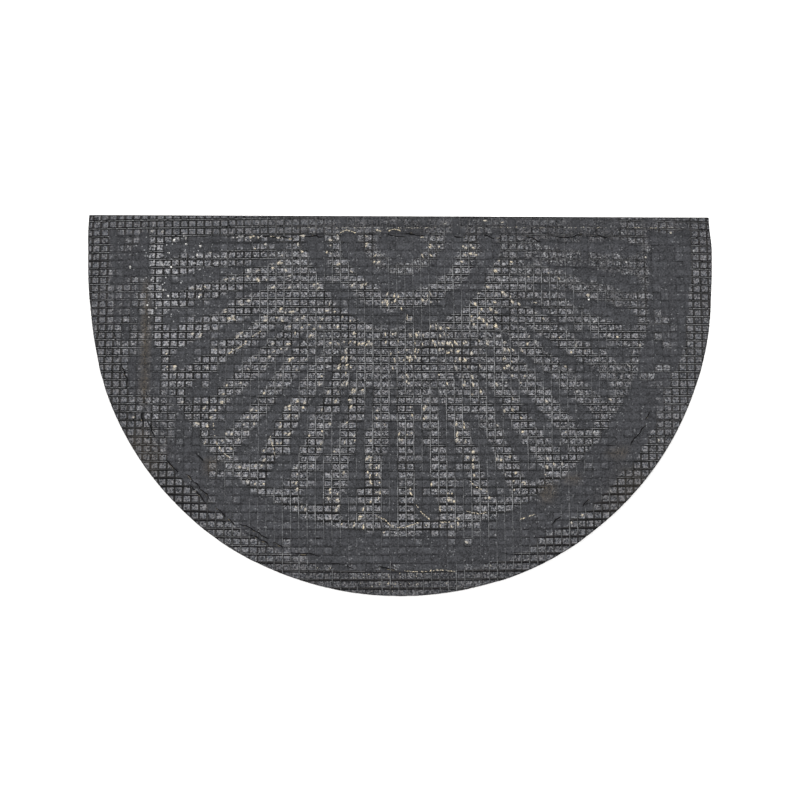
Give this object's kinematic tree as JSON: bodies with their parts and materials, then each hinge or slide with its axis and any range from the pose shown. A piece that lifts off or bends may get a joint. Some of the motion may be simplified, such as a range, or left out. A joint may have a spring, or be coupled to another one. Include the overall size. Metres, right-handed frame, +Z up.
{
  "type": "half-moon doormat",
  "caption": "Half-moon doormat lying face down: a rubber backing with a pressed sunburst of rings, flutes and a rim band, over a plain fibre face.",
  "frame": {"origin": "centre of the bounding box's underside: the middle of the mat, on the surface that it lies on", "axes": "+Z up, out of the rubber grip side; +X along the straight back edge; +Y towards the straight back edge, so that the round front is at -Y"},
  "size_m": [0.749, 0.457, 0.0093],
  "materials": {
    "crumb_rubber": "matte",
    "needled_fibre": "matte"
  },
  "bodies": {
    "root": {"rubber_backing": "crumb_rubber", "fibre_face": "needled_fibre"}
  },
  "joints": []
}
